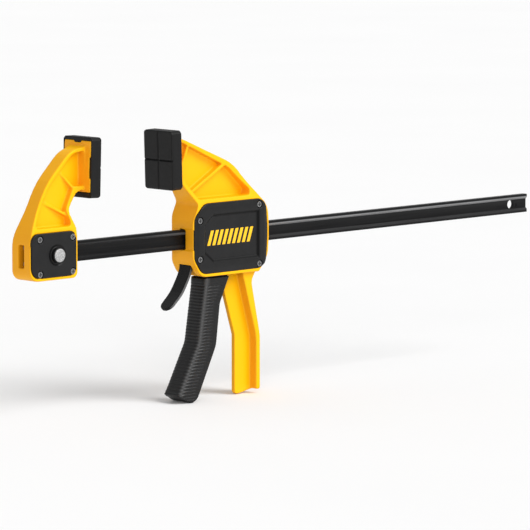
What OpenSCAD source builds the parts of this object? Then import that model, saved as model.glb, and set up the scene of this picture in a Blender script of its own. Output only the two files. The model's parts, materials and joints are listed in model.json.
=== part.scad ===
// One-handed trigger bar clamp. A fixed jaw is pinned to one end of a steel I-section
// bar, and a sliding jaw body is driven along the bar by a squeeze handle.
// +X runs along the bar from the fixed jaw to the free end, +Z points up through the
// jaws, and the front of the clamp faces -Y. The origin is on the bar's centre line,
// in the plane of the fixed jaw's pad face. All sizes are in millimetres.

/* [Bar] */
// Height of the bar section
bar_h = 19; // [18.5:0.1:19.4]
// Width of the bar's flanges
bar_w = 6.5; // [6:0.1:6.8]
// Thickness of the web between the flanges
web_t = 3; // [2.6:0.1:4]
// Thickness of each flange at its edge
flange_t = 3.2; // [2.8:0.1:3.4]
// Distance from the fixed pad face to the free end of the bar
bar_free_end = 617; // [420:1:900]
// Diameter of the hole near each end of the bar
bar_hole_d = 9.2; // [8.4:0.1:9.4]

/* [Jaws] */
// Opening between the two pad faces
opening = 91.2; // [60:0.1:160]
// Lean of each jaw towards the other one, in degrees
toe_in = 1.7; // [0:0.1:2]
// Half the thickness of the fixed jaw at its cover
jaw_half = 13.3; // [13:0.1:14]
// Half the thickness of the sliding body at its cover
body_half = 16.7; // [16.4:0.1:17.5]
// Half the thickness of each jaw arm near its pad
arm_half = 8.4; // [7.8:0.1:9]
// Thickness of the web inside each jaw arm
arm_web = 4.6; // [3.6:0.1:5]

/* [Pads] */
// Thickness of a pad
pad_t = 12.6; // [12:0.1:14]
// Width of a pad
pad_w = 40.4; // [40:0.1:44]
// Height of a pad
pad_h = 57; // [56:0.1:60]
// Height of the pad's centre above the bar's centre line
pad_z = 78.7; // [78.5:0.1:80]

/* [Handle] */
// Half the width of the squeeze handle
grip_half = 12.8; // [12:0.1:12.9]
// Thickness of the ribbed grip over the handle
grip_t = 2.2; // [1.8:0.1:2.6]
// Diameter of the pin that the handle turns on
pivot_d = 5; // [4:0.1:5.2]
// Thickness of the rear handle's centre web
rear_web = 4.6; // [4:0.1:6]
// Half the width of the rear handle's palm flange
palm_half = 11.5; // [10:0.1:13]

/* [Release] */
// Width of the release lever
lever_w = 16; // [14:0.1:16.4]
// Thickness of the release lever
lever_t = 3; // [2.8:0.1:3.2]
// Diameter of the release button
button_d = 12.6; // [11:0.1:12.8]
// How far the button stands out of its collar
button_lip = 0.5; // [0.2:0.1:1]

/* [Hidden] */
$fn = 48;

yellow = [1, 0.78, 0.05];
charcoal = [0.18, 0.18, 0.19];
black = [0.05, 0.05, 0.055];
steel = [0.66, 0.67, 0.69];
light_grey = [0.74, 0.75, 0.76];

gap = 0.05;          // running clearance between two pieces that fit together
slip = 0.3;          // loose clearance around the bar and the moving pieces
far = 300;           // longer than any cut needs to be

// Fixed jaw: the base holds the bar's end between x = jaw_left and jaw_right.
jaw_left = -83;
jaw_right = -24.3;
pin_x = -50.4;       // the lock pin, and so the bar's first hole
bar_start = -77;
bar_end_hole = bar_free_end - 24;
dimple = [7.2, -1.4];  // stamped dimple beside the end hole
cover_t = 3;
seat_depth = 2;      // how deep a cover sits in its jaw
jaw_cover_left = -81.8;
rear_inset = 2.6;    // how far the rear covers' left edges and screws stand further in
seat_gap = 0.15;     // room around a cover in its seat
jaw_screws = [for (x = [-71.2, -30.6], z = [-16.8, 15.8]) [x, z]];
jaw_mid = -50;       // between the jaw's left and right screws

// Sliding body, with x measured from its own pad face.
body_left = 30.2;
body_right = 132.6;
body_cover_left = 32;
body_mid = 80;       // between the body's left and right screws
body_screws = [[39.2, -19], [39.2, 18.4], [118.8, -29.2], [118.8, 29]];
pivot_x = 66.8;
pivot_z = 18;
nose_x = 72;
nose_z = -16.5;
nose_r = 2.5;
plate_t = 2.8;
plate_x = nose_x + nose_r + 0.1;
lever_x = 39.8;
lever_z = 20.5;
window_x = [42.8, 114.8];
window_z = [-28, 27];

// Points on the arc of radius r that rounds the corner b between a and c.
function corner(a, b, c, r, step) =
    let (
        u = (a - b) / norm(a - b),
        v = (c - b) / norm(c - b),
        half = acos(u * v) / 2,
        cut = r / tan(half),
        middle = (u + v) / norm(u + v),
        centre = b + middle * r / sin(half),
        from = b + u * cut - centre,
        to = b + v * cut - centre,
        start = atan2(from[1], from[0]),
        raw = atan2(to[1], to[0]) - start,
        sweep = raw > 180 ? raw - 360 : raw < -180 ? raw + 360 : raw,
        parts = max(1, ceil(abs(sweep) / step))
    )
    [for (i = [0:parts]) centre
        + r * [cos(start + sweep * i / parts), sin(start + sweep * i / parts)]];

// A closed outline from corners given as [x, z, radius].
function rounded(corners, step = 9) =
    let (n = len(corners), p = [for (c = corners) [c[0], c[1]]])
    [for (i = [0:n - 1]) each corners[i][2] > 0
        ? corner(p[(i + n - 1) % n], p[i], p[(i + 1) % n], corners[i][2], step)
        : [p[i]]];

// An x-z outline given a thickness from y = from to y = to.
module slab(outline, from, to)
    translate([0, to, 0]) rotate([90, 0, 0]) linear_extrude(to - from) polygon(outline);

// The same outline cut on the front and on the rear, from |y| = inner outwards.
module both_sides(outline, inner, outer)
    for (side = [-1, 1]) slab(outline, side < 0 ? -outer : inner, side < 0 ? -inner : outer);

// A y-z outline run along x.
module along_x(outline, from, to)
    translate([from, 0, 0]) rotate([90, 0, 90]) linear_extrude(to - from) polygon(outline);

// A cylinder along y, from y = from to y = to, at x and z.
module along_y(x, z, d, from, to)
    translate([x, to, z]) rotate([90, 0, 0]) cylinder(d = d, h = to - from);

module block(x, y, z) translate([x[0], y[0], z[0]])
    cube([x[1] - x[0], y[1] - y[0], z[1] - z[0]]);

// Children turn by the jaw's lean about the middle of the pad face.
module at_pad(lean) translate([0, 0, pad_z]) rotate([0, lean, 0]) children();

// A piece of the sliding body, drawn from its own pad face.
module on_body() translate([opening, 0, 0]) children();

// Half of a symmetric y-z section, mirrored to make the whole section.
function mirrored(half) = concat(half,
    [for (i = [len(half) - 1:-1:0]) [-half[i][0], half[i][1]]]);

// A tapering stiffening rib in the x-z plane, on both sides of the arm's web.
module rib(from, to, height_from, height_to, thick = 2.6) {
    run = to - from;
    length = norm(run);
    for (side = [-1, 1]) translate([from[0], 0, from[1]])
        rotate([0, -atan2(run[1], run[0]), 0]) mirror([0, side < 0 ? 1 : 0, 0])
        linear_extrude(thick) polygon([[0, 0], [length, 0],
            [length, arm_web / 2 + height_to], [0, arm_web / 2 + height_from]]);
}

// A closed coil spring along +z, with ground ends.
module coil(mean_d, wire_d, length, turns, sides = 8, steps = 20) {
    rings = turns * steps;
    rise = (length - wire_d) / rings;
    points = [for (i = [0:rings], j = [0:sides - 1])
        let (turn = 360 * i / steps, roll = 360 * j / sides,
            reach = mean_d / 2 + wire_d / 2 * cos(roll))
        [reach * cos(turn), reach * sin(turn),
            wire_d / 2 + rise * i + wire_d / 2 * sin(roll)]];
    skin = [for (i = [0:rings - 1], j = [0:sides - 1], half = [0, 1])
        let (a = i * sides + j, b = i * sides + (j + 1) % sides)
        half == 0 ? [a, b, b + sides] : [a, b + sides, a + sides]];
    polyhedron(points, concat([for (f = skin) [f[2], f[1], f[0]]],
        [[for (j = [0:sides - 1]) j]], [[for (j = [sides - 1:-1:0]) rings * sides + j]]));
}

// ---- bar ----

function bar_section() =
    let (h = bar_h / 2, w = bar_w / 2, t = web_t / 2, slope = 1.7)
    mirrored([[-w + 0.4, -h], [-w, -h + 0.4], [-w, -h + flange_t],
        [-t, -h + flange_t + slope], [-t, h - flange_t - slope], [-w, h - flange_t],
        [-w, h - 0.4], [-w + 0.4, h]]);

module bar() color(black) difference() {
    along_x(bar_section(), bar_start, bar_free_end);
    for (x = [pin_x, bar_end_hole]) along_y(x, 0, bar_hole_d, -far, far);
    along_y(bar_end_hole + dimple[0], dimple[1], 4.4, -bar_w, -web_t / 2 + 0.4);
}

// The space that the bar needs where it runs through a jaw.
module bar_way(from, to) block([from, to],
    [-bar_w / 2 - slip, bar_w / 2 + slip], [-bar_h / 2 - slip, bar_h / 2 + slip]);

// ---- fixed jaw ----

jaw_outline = rounded([
    [jaw_left, -23.3, 10], [jaw_left, 17, 50], [-59.2, 65.6, 80], [-29, 95, 30],
    [-12.7, 98.9, 0], [-12.7, 58.6, 0], [-20, 57.8, 10], [-31.8, 40, 9],
    [jaw_right, 24, 12], [jaw_right, -23.3, 6]]);
jaw_pocket = rounded([
    [-75.3, 25.5, 3], [-56.3, 62.8, 60], [-25.8, 92.4, 20], [-13.3, 95.3, 2],
    [-13.3, 62, 2], [-24.5, 62, 3], [-34.8, 41, 6], [-31.4, 32.5, 6], [-29.8, 25.5, 3]]);
function jaw_cover_shape(left, grow) = rounded([
    [left - grow, -20.4 - grow, 10], [left - grow, 21.3 + grow, 8],
    [-26.5 + grow, 21.3 + grow, 7], [-26.5 + grow, -20.4 - grow, 6]]);
jaw_width = mirrored(rounded([
    [0, -30, 0], [-jaw_half, -30, 0], [-jaw_half, 16, 30], [-arm_half, 42, 60],
    [-arm_half, 110, 0], [0, 110, 0]], 4));
// A plan view of the arm where it spreads out to meet the pad plate.
flare = [[-12, -11], [-15, -11], [-22, -arm_half], [-22, arm_half], [-15, 11], [-12, 11]];

plate_w = 37;
plate_bottom = 55.6;
plate_top = 103.7;
tab_w = 10;          // rubber tab at the middle of the plate's top edge
tab_d = 1.7;
side_tab_h = 20;     // rubber tabs at the middle of the plate's sides
side_tab_d = 1.6;

// The moulded plate that carries a pad, in the pad's own leaning frame.
module pad_plate(grow = 0) difference() {
    block([-13, -9 + grow], [-plate_w / 2 - grow, plate_w / 2 + grow],
        [plate_bottom - pad_z - grow, plate_top - pad_z + grow]);
    for (side = [-1, 1]) translate([-20, side * plate_w / 2, 0])
        block([0, 20], [-side_tab_d + grow, side_tab_d - grow],
            [-side_tab_h / 2 + grow, side_tab_h / 2 - grow]);
    translate([-20, 0, plate_top - pad_z]) block([0, 20],
        [-tab_w / 2 + grow, tab_w / 2 - grow], [-tab_d + grow, tab_d]);
}

module arm_blank(outline, width_section, half) intersection() {
    slab(outline, -half, half);
    union() {
        along_x(width_section, -far, far);
        translate([0, 0, 50]) linear_extrude(60) polygon(flare);
    }
}

// The rear screws' places: the ones left of limit stand further in, as the rear cover does.
function rear_screws(front, limit) =
    [for (at = front) [at[0] + (at[0] < limit ? rear_inset : 0), at[1]]];

module screw_pilots(front, limit, floor, depth) {
    for (at = front) along_y(at[0], at[1], 2.9, -floor - 1, -floor + depth);
    for (at = rear_screws(front, limit)) along_y(at[0], at[1], 2.9, floor - depth, floor + 1);
}

module fixed_jaw() color(yellow) {
    floor = jaw_half - seat_depth;
    difference() {
        union() {
            arm_blank(jaw_outline, jaw_width, jaw_half);
            at_pad(toe_in) pad_plate();
        }
        both_sides(jaw_pocket, arm_web / 2, 20);
        slab(jaw_cover_shape(jaw_cover_left, seat_gap), -20, -floor);
        slab(jaw_cover_shape(jaw_cover_left + rear_inset, seat_gap), floor, 20);
        slab(rounded([[-65, -15, 3], [-65, 15, 3], [-36, 15, 3], [-36, -15, 3]]), -20, 20);
        bar_way(bar_start - slip, 0);
        block([jaw_left - 10, bar_start + 5], [-3.4, 3.4], [-10.6, 10.6]);
        screw_pilots(jaw_screws, jaw_mid, floor, 6);
    }
    intersection() {
        union() {
            rib([-37, 74], [-23.5, 58], 0.6, 5.6);
            rib([-57, 46.8], [-29, 32.6], 0.6, 5.9);
        }
        slab(jaw_outline, -jaw_half, jaw_half);
    }
}

// ---- pads, in the leaning frame: the gripping face is at x = 0, the back at -pad_t ----

module pad() difference() {
    w = pad_w / 2;
    h = pad_h / 2;
    cut = 2.6;
    bevel = 0.9;
    intersection() {
        along_x([[-w + cut, -h], [w - cut, -h], [w, -h + cut], [w, h - cut],
            [w - cut, h], [-w + cut, h], [-w, h - cut], [-w, -h + cut]], -pad_t, 0);
        slab([[-pad_t, -h], [-bevel, -h], [0, -h + bevel], [0, h - bevel],
            [-bevel, h], [-pad_t, h]], -w, w);
        translate([0, 0, -h]) linear_extrude(pad_h) polygon([[-pad_t, -w],
            [-bevel, -w], [0, -w + bevel], [0, w - bevel], [-bevel, w], [-pad_t, w]]);
    }
    pad_plate(gap);
    block([-20, -12.5], [-plate_w / 2 - gap, plate_w / 2 + gap], [-15, -14.9]);
    groove = 1.3;
    block([-1.2, 1], [-groove / 2, groove / 2], [-40, 40]);
    block([-1.2, 1], [-40, 40], [-groove / 2, groove / 2]);
}

module fixed_pad() color(charcoal) at_pad(toe_in) pad();

module slide_pad() color(charcoal) on_body() mirror([1, 0, 0]) at_pad(toe_in) pad();

// ---- screws ----

// A small cross-head screw that points along +y, with its head face at y = 0.
module screw(length) difference() {
    union() {
        along_y(0, 0, 5.8, 0, 1.5);
        along_y(0, 0, 2.8, 1.4, length);
    }
    block([-1.9, 1.9], [-1, 0.8], [-0.45, 0.45]);
    block([-0.45, 0.45], [-1, 0.8], [-1.9, 1.9]);
}

// Screws on the front and on the rear, with heads at |y| = face.
module cover_screws(front, limit, face, length) {
    for (at = front) translate([at[0], -face, at[1]]) screw(length);
    for (at = rear_screws(front, limit))
        mirror([0, 1, 0]) translate([at[0], -face, at[1]]) screw(length);
}

module jaw_cover_screws() color(steel)
    cover_screws(jaw_screws, jaw_mid, jaw_half + 0.4, 7.5);

module body_cover_screws() color(steel) on_body()
    cover_screws(body_screws, body_mid, body_half + 0.4, 7.2);

// The recess for a screw's head, and its hole through a front cover.
module screw_seat(x, z, face) {
    along_y(x, z, 7.4, -face - 1, -face + 2.15);
    along_y(x, z, 3.4, -face - 1, -face + 10);
}

// ---- fixed jaw's covers ----

module jaw_cover_blank(left, screws) difference() {
    face = jaw_half - seat_depth + cover_t;
    slab(jaw_cover_shape(left, 0), -face, -face + cover_t - gap);
    for (at = screws) screw_seat(at[0], at[1], face);
}

module jaw_cover_front() color(charcoal) {
    face = jaw_half - seat_depth + cover_t;
    collar = 3.6;
    difference() {
        union() {
            jaw_cover_blank(jaw_cover_left, jaw_screws);
            along_y(pin_x, 0, button_d + 1.8, -face - collar, -face + 1);
        }
        along_y(pin_x, 0, button_d + 2 * gap, -far, far);
        difference() {
            along_y(pin_x, 0, 19.6, -face - 1, -face + 0.8);
            along_y(pin_x, 0, button_d + 1.8, -face - 2, -face + 2);
        }
    }
}

module jaw_cover_rear() color(charcoal) mirror([0, 1, 0])
    jaw_cover_blank(jaw_cover_left + rear_inset, rear_screws(jaw_screws, jaw_mid));

// ---- quick-release button, its yoke, lock pin and spring ----

button_face = jaw_half - seat_depth + cover_t + 3.6 + button_lip;
yoke_front = jaw_half - seat_depth - 1.6;
yoke_t = 1.8;
yoke_reach = 3.5;

module release_button() color(light_grey) {
    along_y(pin_x, 0, button_d, -button_face, -yoke_front - 1);
    along_y(pin_x, 0, 16, -yoke_front - 1.5, -yoke_front);
}

// A frame that passes above and below the bar, so the button can pull the pin rearwards.
module button_yoke() color(steel) difference() {
    back = yoke_reach + yoke_t;
    block([pin_x - 6, pin_x + 6], [-yoke_front + gap, back], [-14.4, 14.4]);
    block([pin_x - 10, pin_x + 10], [-yoke_front + yoke_t, yoke_reach], [-12.2, 12.2]);
    along_y(pin_x, 0, 5, 0, far);
}

module lock_pin() color(steel) {
    along_y(pin_x, 0, bar_hole_d - 0.4, -web_t / 2 - 0.2, yoke_reach - gap);
    along_y(pin_x, 0, 4.9, yoke_reach - 1, yoke_reach + yoke_t + 0.5);
}

module button_spring() color(steel) {
    from = yoke_reach + yoke_t + gap;
    translate([pin_x, from, 0]) rotate([-90, 0, 0])
        coil(8.4, 0.8, jaw_half - seat_depth - from - gap, 3);
}

// ---- sliding body ----

body_outline = rounded([
    [12.7, 100.8, 0], [26, 97.4, 40], [90.5, 70.6, 45], [body_right - 1.2, 26, 22],
    [body_right, 2, 80], [body_right - 1.4, -22, 20], [119, -37, 0], [40.7, -36.4, 12],
    [body_left, -18, 14], [body_left, 17, 14], [38.2, 34.3, 5], [20, 57, 10],
    [12.7, 58.4, 0]]);
// A plan view of the housing below the arm, with its left corners rounded.
housing_plan = rounded([[body_left, -body_half, 1.5], [200, -body_half, 0],
    [200, body_half, 0], [body_left, body_half, 5.2]]);
body_pocket = rounded([
    [13.5, 96.8, 2], [25, 94, 6], [84.9, 66.9, 25], [109.6, 44.5, 4], [108, 38.8, 3],
    [40.6, 38.8, 3], [22.4, 61.8, 4], [13.5, 61.8, 2]]);
body_width = mirrored(rounded([
    [0, -60, 0], [-body_half, -60, 0], [-body_half, 31.5, 24], [-9.7, 54.5, 60],
    [-arm_half, 84, 80], [-arm_half, 110, 0], [0, 110, 0]], 4));

function body_cover_shape(left, grow) = rounded([
    [left - grow, -19, 12], [left + 10.2, -33.6 - grow, 12],
    [127.7 + grow, -33.6 - grow, 12], [130.6 + grow, 2, 90],
    [127.7 + grow, 34.6 + grow, 12], [left + 13.4, 34.6 + grow, 14],
    [left - grow, 21.4, 12]]);

palm_outline = rounded([
    [101, -34, 0], [102.6, -42, 6], [119.9, -101, 40], [119.9, -154.2, 2],
    [125.8, -154.2, 2], [125.8, -101, 40], [113.8, -46, 9], [121, -34, 0]]);
rear_web_outline = rounded([
    [86, -35.6, 0], [83.5, -50, 8], [99, -99, 8], [99.1, -158.6, 4], [121.5, -155, 0],
    [121.5, -101, 0], [112, -60, 0], [104.5, -35.6, 0]]);

module body_shell() color(yellow) on_body() {
    floor = body_half - seat_depth;
    difference() {
        union() {
            intersection() {
                arm_blank(body_outline, body_width, body_half);
                union() {
                    block([0, 200], [-20, 20], [33, 110]);
                    translate([0, 0, -50]) linear_extrude(84) polygon(housing_plan);
                }
            }
            mirror([1, 0, 0]) at_pad(toe_in) pad_plate();
            mirror([1, 0, 0]) translate([0, 0, 58.4]) linear_extrude(42) polygon(flare);
            slab(palm_outline, -palm_half, palm_half);
            slab(rear_web_outline, -rear_web / 2, rear_web / 2);
        }
        both_sides(body_pocket, arm_web / 2, 20);
        slab(body_cover_shape(body_cover_left, seat_gap), -20, -floor);
        slab(body_cover_shape(body_cover_left + rear_inset, seat_gap), floor, 20);
        slab(rounded([[window_x[0], window_z[0], 3], [window_x[0], window_z[1], 3],
            [window_x[1], window_z[1], 3], [window_x[1], window_z[0], 3]]), -20, 20);
        bar_way(0, far);
        block([body_left - 5, body_left + 1.5], [-body_half, body_half - 3],
            [-10.2, 10.2]);
        lever_cavity();
        block([51.8, 101], [-13.3, 13.3], [-38.2, window_z[0] + 1]);
        screw_pilots(body_screws, body_mid, floor, 5.5);
    }
    slab(rear_web_outline, -rear_web / 2, rear_web / 2);
    spring_post();
    intersection() {
        union() {
            rib([37.6, 44.4], [81.6, 69.8], 5.8, 6.6, 3.2);
            rib([21, 58], [34.4, 92.6], 3.6, 5.6);
        }
        slab(body_outline, -body_half, body_half);
    }
}

// Room for the release lever's plate, from its rounded top seat down and out.
module lever_cavity() {
    half = lever_w / 2 + slip + 0.2;
    along_y(lever_x, lever_z, 4.2, -half, half);
    slab([[29, -50], [34.4, -32], [lever_x - 1.8, lever_z], [lever_x + 1.8, lever_z],
        [45.4, -18], [45.4, -50]], -half, half);
}

// The post inside the body that the brake spring pushes against.
module spring_post() block([46.4, 49], [-4.5, 4.5], [-34, -10.8]);

// ---- sliding body's covers ----

module body_cover_blank(left, screws) {
    face = body_half - seat_depth + cover_t;
    panel = rounded([[47.1, -12.6, 2], [57, -20.4, 2], [115.8, -20.4, 3],
        [115.8, 21.3, 3], [57, 21.3, 2], [47.1, 13.6, 2]]);
    difference() {
        union() {
            slab(body_cover_shape(left, 0), -face, -face + cover_t - gap);
            along_y(pivot_x, pivot_z, 10, -face + 1, -9);
        }
        slab(panel, -face - 1, -face + 1.2);
        along_y(pivot_x, pivot_z, pivot_d + 2 * gap, -face + 2, 0);
        for (at = screws) screw_seat(at[0], at[1], face);
    }
}

module body_cover_front() color(charcoal) on_body()
    body_cover_blank(body_cover_left, body_screws);

module body_cover_rear() color(charcoal) on_body() mirror([0, 1, 0])
    body_cover_blank(body_cover_left + rear_inset, rear_screws(body_screws, body_mid));

// ---- squeeze handle, its grip and its pivot pin ----

handle_outline = rounded([
    [51.9, -38.6, 2], [41.7, -101, 40], [15.3, -149.7, 2.5], [31.5, -158.8, 5],
    [39.5, -155.2, 7], [45.5, -143, 10], [64.4, -105, 25], [69.5, -64, 18],
    [82, -38.6, 0]]);
// The channel inside the handle, open at the back and the bottom.
handle_hollow = rounded([
    [61, -35, 0], [59, -42, 3], [47.5, -101, 30], [19, -160, 0], [60, -170, 0], [110, -35, 0]]);
core_outline = rounded([
    [54.8, -30, 3], [44, -101, 40], [18.6, -147.9, 3], [30, -154.2, 4],
    [41.5, -149.2, 6], [64.4, -105, 25], [69.5, -64, 18], [82, -38.6, 0], [82, -35, 0],
    [69, -30, 0]]);

// A prism with a rounded front, leaning like one length of the handle.
module leaning_prism(foot, lean, half, front_r) translate([foot[0], 0, foot[1]])
    rotate([0, lean, 0]) translate([0, 0, -80]) linear_extrude(160)
    polygon(rounded([[0, -half, front_r], [0, half, front_r], [60, half, 0],
        [60, -half, 0]]));

module rounded_front(half, inset) union() {
    for (lean = [9.2, 28.4]) leaning_prism([41.9 + inset, -101], lean, half, 5.6 - inset);
}

module handle_grip() color(black) on_body() difference() {
    intersection() {
        slab(handle_outline, -grip_half, grip_half);
        rounded_front(grip_half, 0);
    }
    intersection() {
        slab(rounded([[53.6, -30, 0], [42, -101, 40], [16, -146.6, 0],
            [30, -154.35, 4], [60, -141.2, 0], [120, -30, 0]]),
            -grip_half + grip_t, grip_half - grip_t);
        rounded_front(grip_half - grip_t, grip_t);
    }
    // A notch in the foot, which the body's rear web enters when the handle is squeezed.
    block([37, 70], [-rear_web / 2 - 0.8, rear_web / 2 + 0.8], [-170, -140]);
}

module squeeze_handle() color(black) on_body() difference() {
    core_half = grip_half - grip_t - gap;
    union() {
        difference() {
            intersection() {
                slab(core_outline, -core_half, core_half);
                rounded_front(core_half, grip_t + gap);
            }
            slab(handle_hollow, -core_half + 2.5, core_half - 2.5);
        }
        block([57.5, 69], [-8.2, 8.2], [-36, -14]);
        along_y(nose_x, nose_z, 2 * nose_r, -8.2, 8.2);
        block([62, nose_x], [-8.2, 8.2], [nose_z - nose_r, nose_z + nose_r - 0.6]);
        both_sides(rounded([[60.8, -24, 0], [60.8, pivot_z + 6, 5.9],
            [72.8, pivot_z + 6, 5.9], [72.8, -24, 3]]), 4.2, 8.2);
    }
    along_y(pivot_x, pivot_z, pivot_d + 2 * gap, -20, 20);
}

module handle_pivot_pin() color(steel) on_body()
    along_y(pivot_x, pivot_z, pivot_d, -body_half + 1.2, body_half - 1.2);

// ---- drive plates, release lever and the springs ----

module drive_plate(x) difference() {
    block([x, x + plate_t], [-8, 8], [-20.2, 15]);
    bar_way(-far, far);
}

module drive_plate_first() color(steel) on_body() drive_plate(plate_x);

module drive_plate_second() color(steel) on_body() drive_plate(plate_x + plate_t + gap);

module drive_spring() color(steel) on_body() {
    from = plate_x + 2 * (plate_t + gap);
    translate([from, 0, 0]) rotate([0, 90, 0])
        coil(24.4, 1.7, window_x[1] - from - gap, 6, 8, 22);
}

// The lever's side view: a tilted brake plate that runs on into a curved finger tab.
lever_outline = rounded([
    [lever_x - lever_t / 2, lever_z, 0], [35.2, -30, 40], [22.4, -50.6, 40],
    [5.2, -66.3, 0], [7, -68.3, 0], [25.2, -52.4, 40], [35.2 + lever_t, -30.4, 40],
    [lever_x + lever_t / 2, lever_z, 0]]);

// The lever's front view near its tip: straight sides and a rounded end.
lever_tip = rounded([[-lever_w / 2 - 0.1, -8.4, 8], [lever_w / 2 + 0.1, -8.4, 8],
    [lever_w / 2 + 0.1, 60, 0], [-lever_w / 2 - 0.1, 60, 0]]);

module release_lever() color(black) on_body() difference() {
    tip = [12.2, -60];
    tip_lean = 48;
    intersection() {
        union() {
            slab(lever_outline, -lever_w / 2, lever_w / 2);
            along_y(lever_x, lever_z, 4, -lever_w / 2, lever_w / 2);
        }
        union() {
            block([-50, 80], [-20, 20], [-50, 60]);
            translate([tip[0], 0, tip[1]]) rotate([0, tip_lean, 0])
                along_x(lever_tip, -20, 20);
        }
    }
    block([-50, 80], [-bar_w / 2 - slip, bar_w / 2 + slip],
        [-bar_h / 2 - 0.6, bar_h / 2 + 0.5]);
}

module brake_spring() color(steel) on_body() {
    from = 39.5;
    translate([from, 0, -15.5]) rotate([0, 90, 0]) coil(5.6, 0.8, 46.35 - from, 4);
}

bar();
fixed_jaw();
fixed_pad();
jaw_cover_front();
jaw_cover_rear();
jaw_cover_screws();
release_button();
button_yoke();
lock_pin();
button_spring();
body_shell();
slide_pad();
body_cover_front();
body_cover_rear();
body_cover_screws();
squeeze_handle();
handle_grip();
handle_pivot_pin();
drive_plate_first();
drive_plate_second();
drive_spring();
release_lever();
brake_spring();
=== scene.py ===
import json
import math

import bmesh
import bpy
import numpy as np
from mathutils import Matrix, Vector


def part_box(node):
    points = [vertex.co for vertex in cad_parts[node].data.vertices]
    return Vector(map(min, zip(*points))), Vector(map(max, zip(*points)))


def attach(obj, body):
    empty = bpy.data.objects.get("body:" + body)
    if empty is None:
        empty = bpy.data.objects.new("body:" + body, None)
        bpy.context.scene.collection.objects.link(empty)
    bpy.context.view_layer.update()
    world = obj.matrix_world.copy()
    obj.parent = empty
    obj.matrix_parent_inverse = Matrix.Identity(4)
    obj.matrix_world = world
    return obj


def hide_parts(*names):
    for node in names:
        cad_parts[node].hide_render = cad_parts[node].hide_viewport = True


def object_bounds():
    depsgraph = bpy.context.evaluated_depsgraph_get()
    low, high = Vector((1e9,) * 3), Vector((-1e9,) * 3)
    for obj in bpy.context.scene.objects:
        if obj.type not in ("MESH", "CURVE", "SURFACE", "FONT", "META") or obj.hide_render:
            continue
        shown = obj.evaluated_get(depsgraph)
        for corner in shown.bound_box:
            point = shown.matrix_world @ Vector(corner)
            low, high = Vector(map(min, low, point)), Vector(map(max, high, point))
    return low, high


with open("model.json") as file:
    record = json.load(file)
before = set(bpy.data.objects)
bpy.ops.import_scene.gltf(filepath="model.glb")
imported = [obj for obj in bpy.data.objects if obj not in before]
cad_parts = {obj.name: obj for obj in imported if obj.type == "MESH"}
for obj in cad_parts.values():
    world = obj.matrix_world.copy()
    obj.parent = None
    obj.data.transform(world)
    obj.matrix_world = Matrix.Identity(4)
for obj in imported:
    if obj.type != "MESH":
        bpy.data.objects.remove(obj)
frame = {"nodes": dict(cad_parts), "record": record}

cad_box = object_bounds()
nodes = frame["nodes"]
body_of = {
    node: body
    for body, members in frame["record"]["behaviour"]["bodies"].items()
    for node in members
}

# The bar runs along +X, the front covers face -Y, and +Z is up. Blender works in metres; a
# length that is written here is in millimetres, and times MM it is in metres.
MM = 0.001
OPENING = 91.2  # how far along the bar the sliding body stands at rest
COVER_FACE = 17.7  # how far the body covers' faces stand from the middle plane


# ---- meshes ----


def new_object(name, mesh):
    obj = bpy.data.objects.new(name, mesh)
    bpy.context.scene.collection.objects.link(obj)
    return obj


def apply_modifiers(obj):
    """Bakes the object's modifiers into its mesh."""
    graph = bpy.context.evaluated_depsgraph_get()
    baked = bpy.data.meshes.new_from_object(obj.evaluated_get(graph), depsgraph=graph)
    obj.modifiers.clear()
    obj.data = baked


def stand_for(obj, node, material):
    """Shows obj in place of a CAD node, on the node's body and with this material."""
    obj.data.materials.clear()
    obj.data.materials.append(material)
    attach(obj, body_of[node])
    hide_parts(node)


def box_mm(node):
    """A node's lowest and highest corners at rest, in millimetres."""
    return (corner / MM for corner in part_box(node))


def points_of(obj):
    """The mesh's points, in metres."""
    points = np.empty(len(obj.data.vertices) * 3)
    obj.data.vertices.foreach_get("co", points)
    return points.reshape(-1, 3)


def move_points(obj, points):
    obj.data.vertices.foreach_set("co", points.ravel())
    obj.data.update()


def even_copy(node, voxel):
    """A copy of a CAD node as an even skin of small quads, which can be rounded and shaped."""
    obj = new_object(node + "_finished", nodes[node].data.copy())
    remesh = obj.modifiers.new("remesh", "REMESH")
    remesh.mode = "VOXEL"
    remesh.voxel_size = voxel * 1 * MM
    apply_modifiers(obj)
    obj.data.shade_smooth()
    return obj


def soften(obj, rounds, weight=None, axes=(0, 1, 2)):
    """Rounds the skin: each point moves towards the middle of its neighbours, by its own weight."""
    edges = np.empty(len(obj.data.edges) * 2, np.int32)
    obj.data.edges.foreach_get("vertices", edges)
    a, b = edges.reshape(-1, 2).T
    a, b = np.concatenate([a, b]), np.concatenate([b, a])
    points = points_of(obj)
    total = len(points)
    neighbours = np.bincount(a, minlength=total)
    pull = 0.5 * (np.ones(total) if weight is None else weight)
    for _ in range(rounds):
        for k in axes:
            middle = np.bincount(a, points[b, k], total) / neighbours
            points[:, k] += (middle - points[:, k]) * pull
    move_points(obj, points)


def ramp(value, start, end):
    """0 up to start and 1 from end on, with a smooth step between them; end may be the lower."""
    t = np.clip((value - start) / (end - start), 0, 1)
    return t * t * (3 - 2 * t)


def bevelled_copy(node, width, segments=2):
    """A copy of a CAD node made of flat faces, with its sharp edges rounded by width."""
    obj = new_object(node + "_finished", nodes[node].data.copy())
    mesh = bmesh.new()
    mesh.from_mesh(obj.data)
    bmesh.ops.remove_doubles(mesh, verts=mesh.verts, dist=0.001 * MM)
    bmesh.ops.dissolve_limit(
        mesh, angle_limit=math.radians(0.5), verts=mesh.verts, edges=mesh.edges
    )
    mesh.to_mesh(obj.data)
    mesh.free()
    bevel = obj.modifiers.new("bevel", "BEVEL")
    bevel.width = width * MM
    bevel.segments = segments
    bevel.limit_method = "ANGLE"
    bevel.angle_limit = math.radians(30)
    bevel.harden_normals = True
    obj.data.shade_smooth()
    apply_modifiers(obj)
    obj.data.shade_smooth()
    obj.data.set_sharp_from_angle(angle=math.radians(50))
    return obj


# ---- materials ----


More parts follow.
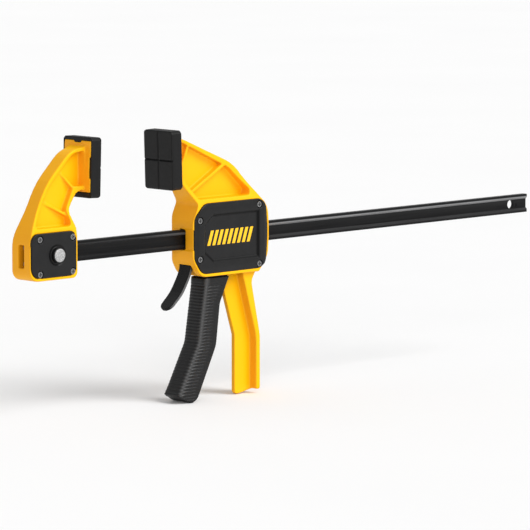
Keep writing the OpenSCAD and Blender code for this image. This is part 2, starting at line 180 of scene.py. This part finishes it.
class Shader:
    """A Principled material and the few nodes that these surfaces are made with."""

    def __init__(self, name, roughness, specular=0.5, metallic=0.0):
        self.material = bpy.data.materials.new(name)
        self.material.use_nodes = True
        self.tree = self.material.node_tree
        self.bsdf = self.tree.nodes["Principled BSDF"]
        self.bsdf.inputs["Roughness"].default_value = roughness
        self.bsdf.inputs["Specular IOR Level"].default_value = specular
        self.bsdf.inputs["Metallic"].default_value = metallic
        self.place = self.tree.nodes.new("ShaderNodeTexCoord").outputs["Object"]

    def add(self, kind, **values):
        node = self.tree.nodes.new(kind)
        for name, value in values.items():
            setattr(node, name, value)
        return node

    def link(self, source, target):
        self.tree.links.new(source, target)

    def noise(self, size, detail=3.0, stretch=(1, 1, 1)):
        """Noise whose features are about size millimetres across, from 0 to 1."""
        mapping = self.add("ShaderNodeMapping")
        mapping.inputs["Scale"].default_value = stretch
        self.link(self.place, mapping.inputs["Vector"])
        noise = self.add("ShaderNodeTexNoise")
        noise.inputs["Scale"].default_value = 1 / (size * MM)
        noise.inputs["Detail"].default_value = detail
        self.link(mapping.outputs["Vector"], noise.inputs["Vector"])
        return noise.outputs["Fac"]

    def calc(self, operation, a, b=0.0, clamp=False):
        """A sum, product or other operation on one or two values; each is a socket or a number."""
        node = self.add("ShaderNodeMath", operation=operation, use_clamp=clamp)
        for socket, value in zip(node.inputs, (a, b)):
            if isinstance(value, (int, float)):
                socket.default_value = value
            else:
                self.link(value, socket)
        return node.outputs[0]

    def spread(self, source, low, high, to_low=0.0, to_high=1.0):
        """Maps source from low..high to to_low..to_high, and holds it inside them."""
        node = self.add("ShaderNodeMapRange")
        for name, value in zip(
            ("From Min", "From Max", "To Min", "To Max"), (low, high, to_low, to_high)
        ):
            node.inputs[name].default_value = value
        self.link(source, node.inputs["Value"])
        return node.outputs["Result"]

    def mix(self, amount, first, second):
        """A colour between two colours; each is a socket or a list of three numbers."""
        node = self.add("ShaderNodeMix", data_type="RGBA")
        self.link(amount, node.inputs["Factor"])
        for socket, value in ((node.inputs[6], first), (node.inputs[7], second)):
            if isinstance(value, (list, tuple)):
                socket.default_value = (*value, 1)
            else:
                self.link(value, socket)
        return node.outputs[2]

    def colour(self, source):
        self.link(source, self.bsdf.inputs["Base Color"])

    def roughness(self, source):
        self.link(source, self.bsdf.inputs["Roughness"])

    def bump(self, height, depth):
        """Raises the surface by height, from 0 to 1, times depth in millimetres."""
        bump = self.add("ShaderNodeBump")
        bump.inputs["Distance"].default_value = depth * MM
        self.link(height, bump.inputs["Height"])
        self.link(bump.outputs["Normal"], self.bsdf.inputs["Normal"])

    def open_air(self, reach, low, high):
        """1 where the surface is open, 0 in corners closer than reach millimetres."""
        shade = self.add("ShaderNodeAmbientOcclusion", samples=8)
        shade.inputs["Distance"].default_value = reach * MM
        return self.spread(shade.outputs["AO"], low, high)

    def axis(self, source, letter):
        node = self.add("ShaderNodeSeparateXYZ")
        self.link(source, node.inputs[0])
        return node.outputs[letter]

    def facing(self):
        """The direction that the surface faces."""
        return self.add("ShaderNodeNewGeometry").outputs["Normal"]

    def lit(self, reach, low, high, wall_shade):
        """open_air, less wall_shade where the mesh is marked as an inner wall."""
        wall = self.add("ShaderNodeAttribute", attribute_name="wall").outputs["Fac"]
        shade = self.calc("MULTIPLY", wall, wall_shade)
        return self.calc("SUBTRACT", self.open_air(reach, low, high), shade, True)


def yellow_nylon():
    """Glass-filled nylon with a fine moulded grain, and painted shade: a deeper orange on sides and
    undersides, and orange-brown in corners and on marked inner walls.
    """
    m = Shader("yellow_nylon_finish", 0.42)
    # Painted shade: faces turned sideways or downwards get a deeper orange, with a little random
    # clouding mixed in.
    sideways = m.calc("ABSOLUTE", m.axis(m.facing(), "X"))
    down = m.calc("MULTIPLY", m.axis(m.facing(), "Z"), -1.0)
    side_shade = m.calc("MAXIMUM", sideways, down)
    cloud = m.noise(14, 3)
    depth = m.calc("ADD", side_shade, m.calc("MULTIPLY", m.calc("SUBTRACT", cloud, 0.5), 0.12))
    shade = m.mix(m.spread(depth, 0.25, 1.0), (0.97, 0.50, 0.001), (0.84, 0.36, 0.010))
    grain = m.noise(0.35, 2)
    shade = m.mix(m.spread(grain, 0.35, 0.75, 0, 0.10), shade, (0.80, 0.42, 0.01))
    # Painted shade: corners and marked inner walls turn orange-brown, and their gloss is dimmed.
    air = m.lit(4, 0.05, 0.5, wall_shade=0.9)
    m.colour(m.mix(air, (0.62, 0.24, 0.006), shade))
    m.link(m.calc("MULTIPLY", air, 0.16), m.bsdf.inputs["Specular IOR Level"])
    m.roughness(m.spread(m.noise(3, 4), 0.3, 0.7, 0.36, 0.50))
    m.bump(grain, 0.035)
    return m.material


def moulded_black(
    name, level, roughness, specular, grain_size=0.3, grain_depth=0.03, edge_highlight=0.0, corner_highlight=0.0
):
    """A dark finish with a fine grain, faint clouding, and painted shade in corners and on marked
    inner walls.

    The last two amounts paint highlights: on the sheared edges of a plate, and on the upright
    corners of a grip.
    """
    m = Shader(name, roughness)
    cloud = m.noise(9, 4)
    dark = [level * 0.82, level * 0.82, level * 0.85]
    light = [level * 1.25, level * 1.25, level * 1.3]
    tone_and_highlights = m.mix(m.spread(cloud, 0.3, 0.7), dark, light)
    # Painted highlight on the faces that face along Y, the sheared edges of a plate.
    if edge_highlight:
        edge = m.spread(m.calc("ABSOLUTE", m.axis(m.facing(), "Y")), 0.75, 0.97)
        tone_and_highlights = m.mix(m.calc("MULTIPLY", edge, edge_highlight), tone_and_highlights, [0.12] * 3)
    # Painted highlight on the upright corners, where the surface faces half along X and half along
    # Y.
    if corner_highlight:
        both = m.calc("MULTIPLY", m.axis(m.facing(), "X"), m.axis(m.facing(), "Y"))
        corner = m.spread(m.calc("ABSOLUTE", both), 0.08, 0.46)
        tone_and_highlights = m.mix(m.calc("MULTIPLY", corner, corner_highlight), tone_and_highlights, [0.08] * 3)
    # Painted shade: corners and marked inner walls are darkened, and their gloss is dimmed.
    air = m.lit(4, 0.4, 0.9, wall_shade=0.85)
    m.colour(m.mix(air, [level * 0.12] * 3, tone_and_highlights))
    m.link(m.spread(air, 0, 1, specular * 0.3, specular), m.bsdf.inputs["Specular IOR Level"])
    m.roughness(m.spread(m.noise(2.2, 4), 0.3, 0.7, roughness - 0.07, roughness + 0.07))
    m.bump(m.noise(grain_size, 2), grain_depth)
    return m.material


def black_bar_steel():
    """Blackened cold-drawn steel: lengthwise drawing marks, and a painted highlight on the flange
    slopes.
    """
    m = Shader("bar_steel_finish", 0.34, specular=0.12)
    lines = m.noise(1.1, 4, stretch=(0.02, 1, 1))
    oxide = m.mix(m.spread(lines, 0.3, 0.7), (0.003, 0.003, 0.0032), (0.008, 0.008, 0.0085))
    along, up = m.axis(m.place, "X"), m.axis(m.place, "Z")

    # The slopes between web and flanges get a painted highlight: more on the upper one, and past the
    # jaw.
    height = m.calc("ABSOLUTE", up)
    slope_start = m.spread(height, 4.4 * MM, 5.2 * MM)
    slope_end = m.spread(height, 6.6 * MM, 7.6 * MM, 1, 0)
    upper = m.spread(up, -1 * MM, 1 * MM, 0.1, 1)
    slope_highlight = m.calc("MULTIPLY", m.calc("MULTIPLY", slope_start, slope_end), upper)
    slope_highlight = m.calc("MULTIPLY", slope_highlight, m.spread(lines, 0.25, 0.6, 0.6, 1))
    slope_highlight = m.calc("MULTIPLY", slope_highlight, m.spread(along, 60 * MM, 260 * MM, 0.12, 1))

    low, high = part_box("bar")
    reach = m.calc("ABSOLUTE", m.calc("SUBTRACT", along, (low.x + high.x) / 2))
    half = (high.x - low.x) / 2
    cut_end = m.spread(reach, half - 0.4 * MM, half - 0.1 * MM)
    finish = m.mix(slope_highlight, oxide, (0.26, 0.26, 0.265))
    m.colour(m.mix(cut_end, finish, (0.30, 0.30, 0.29)))
    m.roughness(m.spread(lines, 0.3, 0.7, 0.27, 0.42))
    m.bump(lines, 0.02)
    return m.material


def bright_steel(name, level, roughness):
    """Bare or zinc-plated steel with fine scratches, and painted shade in its recesses."""
    m = Shader(name, roughness, metallic=1.0)
    marks = m.noise(0.5, 5, stretch=(1, 1, 0.25))
    base = m.mix(m.spread(marks, 0.3, 0.7), [level * 0.8] * 3, [min(1, level * 1.12)] * 3)
    # Painted shade: darker in recesses, such as a screw head's cross.
    m.colour(m.mix(m.open_air(1.5, 0.45, 0.95), [level * 0.08] * 3, base))
    m.roughness(m.spread(marks, 0.3, 0.7, roughness - 0.08, roughness + 0.12))
    m.bump(marks, 0.01)
    return m.material


def cast_button():
    """Zinc casting, tumbled to a pale satin with dark pits."""
    m = Shader("button_metal_finish", 0.45, specular=0.5, metallic=0.35)
    pits = m.spread(m.noise(1.0, 2), 0.36, 0.56)
    fine = m.noise(0.4, 3)
    pale = m.mix(m.spread(fine, 0.3, 0.7), (0.43, 0.43, 0.43), (0.58, 0.58, 0.58))
    m.colour(m.mix(pits, (0.28, 0.28, 0.28), pale))
    m.bump(pits, 0.06)
    return m.material


def label_ink():
    """Printed yellow ink, a little uneven."""
    m = Shader("label_ink_finish", 0.5, specular=0.3)
    patch = m.spread(m.noise(1.2, 3), 0.3, 0.7)
    m.colour(m.mix(patch, (0.93, 0.50, 0.01), (0.97, 0.58, 0.02)))
    m.bump(m.noise(0.4, 2), 0.01)
    return m.material


yellow = yellow_nylon()
label_yellow = label_ink()
cover_black = moulded_black("cover_plastic_finish", 0.007, 0.42, 0.27)
pad_black = moulded_black("pad_rubber_finish", 0.004, 0.46, 0.24, 0.5, 0.03)
grip_black = moulded_black(
    "grip_rubber_finish", 0.003, 0.4, 0.36, 0.35, 0.012, corner_highlight=0.6
)
lever_black = moulded_black(
    "lever_steel_finish", 0.002, 0.26, 0.25, 0.25, 0.01, edge_highlight=0.8
)
nylon_black = moulded_black("handle_nylon_finish", 0.010, 0.50, 0.4)
screw_metal = bright_steel("screw_steel_finish", 0.27, 0.3)
plate_metal = bright_steel("plate_steel_finish", 0.45, 0.38)
spring_metal = bright_steel("spring_steel_finish", 0.55, 0.25)


# ---- yellow mouldings ----


def mark_walls(obj, amount):
    """Stores where the skin is a shaded inner wall, for the materials to darken."""
    wall = obj.data.attributes.new("wall", "FLOAT", "POINT")
    wall.data.foreach_set("value", amount.astype(np.float32))


def yellow_mouldings():
    """The fixed jaw and the sliding body, with edges rounded as in a mould."""
    jaw = even_copy("fixed_jaw", 0.65)
    x, y, z = points_of(jaw).T / MM
    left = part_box("fixed_jaw")[0].x / MM
    back = ramp(x, left + 16, left + 5) * ramp(z, 40, 20)
    rear = ramp(y, 3, 7) * ramp(z, 20, 28)
    # The walls of the bar's slot are marked for painted shade.
    bar_slot = (x < left + 7) & (np.abs(y) < 4) & (np.abs(z) < 11)
    mark_walls(jaw, bar_slot)
    soften(jaw, 26, 0.08 + 0.45 * np.maximum(back * 0.5, rear * 0.7))
    stand_for(jaw, "fixed_jaw", yellow)

    body = even_copy("body_shell", 0.65)
    x, y, z = points_of(body).T / MM
    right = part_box("body_shell")[1].x / MM
    rear_handle = ramp(x, right - 22, right - 17) * ramp(z, -44, -52)
    rear = ramp(y, 3, 7) * ramp(z, 34, 40)
    soften(body, 30, 0.07 + 0.4 * np.maximum(rear_handle * 0.6, rear))
    stand_for(body, "body_shell", yellow)


# ---- covers ----


PANEL_DEPTH = 1.9
PANEL_X = (47.1, 115.8)  # from the sliding body's own origin
PANEL_Z = (-20.4, 21.3)
PANEL_CUT = 9.9  # how far the cuts across the panel's left corners run along its edges
PANEL_CUT_RISE = (7.8, 7.7)  # how high the lower and the upper cut are
PANEL_SLOPE = 3.6  # how far outside its edge the panel starts to sink


def panel_inset(x, z):
    """How far inside the body cover's sunk panel a place is: a box with its left corners cut."""
    left, right = PANEL_X
    bottom, top = PANEL_Z
    inside = [x - left, right - x, z - bottom, top - z]
    for rise, from_edge in zip(PANEL_CUT_RISE, (z - bottom, top - z)):
        past_cut = (x - left) * rise + (from_edge - rise) * PANEL_CUT
        inside.append(past_cut / math.hypot(PANEL_CUT, rise))
    return np.minimum.reduce(inside)


def crowned(cover, node, width, drop):
    """Lets the cover's face fall away by drop over a border of this width."""
    low, high = box_mm(node)
    points = points_of(cover)
    x, y, z = points.T / MM
    edge = np.minimum.reduce([x - low.x, high.x - x, z - low.z, high.z - z])
    face = max(abs(low.y), abs(high.y))
    fall = drop * (1 - ramp(edge, 0, width)) * ramp(np.abs(y), face - 2.6, face - 0.4)
    points[:, 1] -= np.sign(y) * fall * MM
    move_points(cover, points)


def sink_panel(cover):
    """Sinks the panel into a body cover's face, and marks its slopes as walls for painted shade,
    strongest halfway down.
    """
    points = points_of(cover)
    x, y, z = points.T / MM
    inset = panel_inset(x - OPENING, z)
    skin = (np.abs(y) > COVER_FACE - 1.5) & (inset > -PANEL_SLOPE)
    level = ramp(inset, -PANEL_SLOPE, 1)
    sunk = COVER_FACE - PANEL_DEPTH * level
    points[:, 1] = np.where(skin, np.sign(y) * sunk * MM, points[:, 1])
    move_points(cover, points)
    mark_walls(cover, np.where(skin, 4 * level * (1 - level), 0))


def covers():
    """The dark covers; all but the button's cover have falling borders."""
    for side in ("front", "rear"):
        node = "jaw_cover_" + side
        cover = even_copy(node, 0.45)
        if side == "rear":
            crowned(cover, node, 4.5, 0.9)
        soften(cover, 4)
        stand_for(cover, node, cover_black)

        node = "body_cover_" + side
        cover = even_copy(node, 0.5)
        sink_panel(cover)
        crowned(cover, node, 6.0, 0.9)
        soften(cover, 4)
        stand_for(cover, node, cover_black)


def label_bars(side):
    """A plain row of slanted bars, printed on a body cover's panel; side is -1 for the front."""
    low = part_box("body_cover_front")[0]
    left, right = low.x + 17.5 * MM, low.x + 79.5 * MM
    bottom, top = low.z + 27 * MM, low.z + 41.5 * MM
    count, slant, fill = 9, 5 * MM, 0.6
    pitch = (right - left - slant) / (count - 1 + fill)
    width = pitch * fill
    embedded, thickness = 0.2 * MM, 0.32 * MM
    foot = side * ((COVER_FACE - PANEL_DEPTH) * MM - embedded)
    mesh = bmesh.new()
    for i in range(count):
        x = left + i * pitch
        ring = [(x, bottom), (x + width, bottom), (x + width + slant, top), (x + slant, top)]
        verts = [mesh.verts.new((px, foot, pz)) for px, pz in ring]
        base = mesh.faces.new(verts if side < 0 else verts[::-1])
        grown = bmesh.ops.extrude_face_region(mesh, geom=[base])
        moved = [v for v in grown["geom"] if isinstance(v, bmesh.types.BMVert)]
        bmesh.ops.translate(mesh, verts=moved, vec=(0, side * thickness, 0))
    bmesh.ops.recalc_face_normals(mesh, faces=mesh.faces)
    data = bpy.data.meshes.new("label")
    mesh.to_mesh(data)
    mesh.free()
    obj = new_object("label_bars_" + ("front" if side < 0 else "rear"), data)
    bevel = obj.modifiers.new("bevel", "BEVEL")
    bevel.width = 0.35 * MM
    bevel.segments = 3
    apply_modifiers(obj)
    obj.data.shade_smooth()
    obj.data.set_sharp_from_angle(angle=math.radians(40))
    obj.data.materials.append(label_yellow)
    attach(obj, body_of["body_cover_front"])


# ---- pads, grip and lever ----


def pads():
    """The rubber pads of both jaws."""
    for node in ("fixed_pad", "slide_pad"):
        pad = even_copy(node, 0.45)
        soften(pad, 3)
        stand_for(pad, node, pad_black)


# The grip's front and rear edges: heights, and x from the sliding body's own origin at each.
GRIP_FRONT = ([-149.6, -101, -38.6], [15.6, 41.9, 51.9])
GRIP_REAR = ([-143, -105, -64, -38.6], [45.5, 64.4, 69.5, 82])
GRIP_SQUARE = 0.93  # turns a level distance from the leaning front into one square to it


def round_front(obj, rounds):
    """Rounds the handle's front corners, and leaves its top and its foot sharper."""
    x, _, z = points_of(obj).T / MM
    depth = x - OPENING - np.interp(z, *GRIP_FRONT)
    ends = ramp(z, -40, -48) * ramp(z, -151, -143)
    soften(obj, rounds, ramp(depth, 14, 9) * ends, axes=(0, 1))


def press_ribs(grip):
    """Presses level ribs into the grip's outer skin, shallower round the front corners."""
    pitch, rib_depth = 3.0, 0.6
    corner = 5.6
    low, high = box_mm("handle_grip")
    points = points_of(grip)
    x, y, z = points.T / MM
    x -= OPENING
    behind = x - np.interp(z, *GRIP_FRONT)
    over = np.maximum(np.abs(y) - (high.y - corner), 0)
    ahead = np.maximum(corner - behind * GRIP_SQUARE, 0)
    outer = ramp(np.hypot(over, ahead) - corner, -1.5, -0.9)
    wave = 0.5 - 0.5 * np.cos(2 * math.pi * z / pitch)
    ends = ramp(z, -43, -45) * ramp(z, low.z + 2, low.z + 4)
    sides = ramp(np.interp(z, *GRIP_REAR) - x, 2, 12)
    corners = 1 - 0.6 * ramp(np.minimum(over, ahead), 0, 3)
    press = rib_depth * wave**0.8 * ends * sides * corners * outer * MM
    normals = np.empty(len(points) * 3)
    grip.data.vertices.foreach_get("normal", normals)
    move_points(grip, points - normals.reshape(-1, 3) * press[:, None])


def pumped_handle():
    """The rubber sleeve with its ribs, and the nylon handle inside it."""
    grip = even_copy("handle_grip", 0.42)
    round_front(grip, 190)
    soften(grip, 5)
    press_ribs(grip)
    stand_for(grip, "handle_grip", grip_black)

    core = even_copy("squeeze_handle", 0.6)
    round_front(core, 120)
    stand_for(core, "squeeze_handle", nylon_black)


def lever():
    """The bent release lever, with its pressed edges rounded."""
    blade = even_copy("release_lever", 0.4)
    soften(blade, 7)
    stand_for(blade, "release_lever", lever_black)


# ---- metal parts ----


def metal_parts():
    """Steel and zinc pieces: those that show get rounded edges, the rest only their finish."""
    stand_for(bevelled_copy("bar", 0.45, 3), "bar", black_bar_steel())
    for node in ("jaw_cover_screws", "body_cover_screws"):
        stand_for(bevelled_copy(node, 0.22), node, screw_metal)
    stand_for(bevelled_copy("release_button", 0.6, 3), "release_button", cast_button())
    for material, names in (
        (plate_metal, ("button_yoke", "lock_pin", "handle_pivot_pin")),
        (plate_metal, ("drive_plate_first", "drive_plate_second")),
        (spring_metal, ("button_spring", "drive_spring", "brake_spring")),
    ):
        for name in names:
            for material_slot in nodes[name].material_slots:
                material_slot.material = material


# ---- stage, light and camera ----


def stage():
    """A plain pale floor that runs out to the horizon, just under the object."""
    size = 14.0
    data = bpy.data.meshes.new("floor")
    corners = [(-size, -size), (size, -size), (size, size), (-size, size)]
    data.from_pydata([(x, y, 0) for x, y in corners], [], [(0, 1, 2, 3)])
    floor = new_object("floor", data)
    floor.location.z = cad_box[0].z - 0.2 * MM
    m = Shader("floor_finish", 0.8, specular=0.1)
    m.colour(m.mix(m.spread(m.noise(400, 2), 0.3, 0.7), [0.915] * 3, [0.925] * 3))
    data.materials.append(m.material)


def sun(name, towards, strength, spread):
    """A sun lamp that stands in this direction; spread is its width in degrees."""
    lamp = bpy.data.lights.new(name, "SUN")
    lamp.energy = strength
    lamp.angle = math.radians(spread)
    obj = new_object(name, lamp)
    obj.rotation_euler = Vector(towards).to_track_quat("Z", "Y").to_euler()


def studio():
    """White surroundings for the camera, dimmer ones for the object, and two soft suns."""
    world = bpy.data.worlds.new("studio")
    bpy.context.scene.world = world
    world.use_nodes = True
    tree = world.node_tree
    background = tree.nodes["Background"]
    background.inputs["Color"].default_value = (1, 1, 1, 1)
    path = tree.nodes.new("ShaderNodeLightPath")
    level = tree.nodes.new("ShaderNodeMapRange")
    level.inputs["To Min"].default_value = 0.5
    level.inputs["To Max"].default_value = 1.0
    tree.links.new(path.outputs["Is Camera Ray"], level.inputs["Value"])
    tree.links.new(level.outputs["Result"], background.inputs["Strength"])
    sun("key", (0.34, -0.70, 0.74), 2.3, 40)
    sun("front", (-0.66, -0.70, 0.28), 0.9, 30)


def camera():
    """A long lens from the front left, a little above, as in a catalogue picture."""
    azimuth, elevation = math.radians(44.5), math.radians(6.8)
    distance, focus = 3.857, 3917.0  # in metres, and in pixels of the frame
    frame_size, sensor = 530, 36.0
    target = Vector((0.2343, 0.0, -0.0342))
    along = Vector(
        (
            math.sin(azimuth) * math.cos(elevation),
            math.cos(azimuth) * math.cos(elevation),
            -math.sin(elevation),
        )
    )
    data = bpy.data.cameras.new("camera")
    data.sensor_width = sensor
    data.lens = focus / frame_size * sensor
    data.clip_start, data.clip_end = 0.1, 100
    obj = new_object("camera", data)
    obj.location = target - along * distance
    obj.rotation_euler = along.to_track_quat("-Z", "Y").to_euler()
    bpy.context.scene.camera = obj
    bpy.context.scene.view_settings.view_transform = "Standard"


yellow_mouldings()
covers()
for cover_side in (-1, 1):
    label_bars(cover_side)
pads()
pumped_handle()
lever()
metal_parts()
stage()
studio()
camera()
